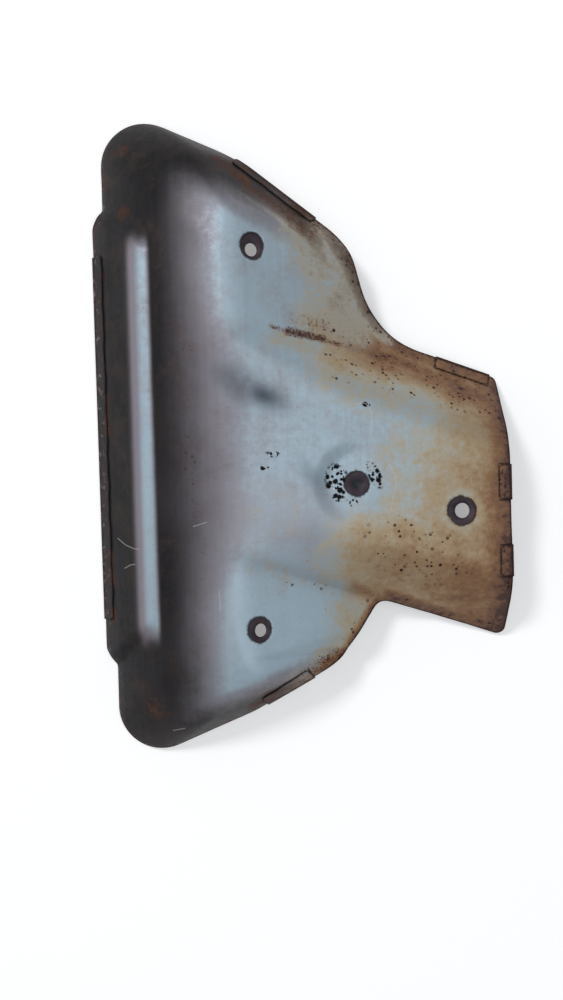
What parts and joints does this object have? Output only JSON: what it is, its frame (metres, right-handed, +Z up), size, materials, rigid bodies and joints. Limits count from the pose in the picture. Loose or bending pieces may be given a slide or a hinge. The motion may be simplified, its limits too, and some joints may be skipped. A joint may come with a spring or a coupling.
{
  "type": "exhaust heat shield",
  "caption": "Double-skinned pressed steel shield for an exhaust manifold: domed body with end lobes, a tunnel falling to an open neck, a stepped long side and bolt holes.",
  "frame": {"origin": "centre of the part's box, on the floor that its rim rests on, hollow side down", "axes": "+Z up out of the show face, +Y along the long side, +X towards the neck"},
  "size_m": [0.2261, 0.3519, 0.0539],
  "materials": {
    "outer_sheet": "aluminised sheet, weathered blue-grey with heat tint and rust specks",
    "inner_sheet": "aluminised sheet, darkened and rusty at its folded tabs"
  },
  "bodies": {
    "root": {"outer_sheet": "outer_sheet", "inner_sheet": "inner_sheet"}
  },
  "joints": []
}
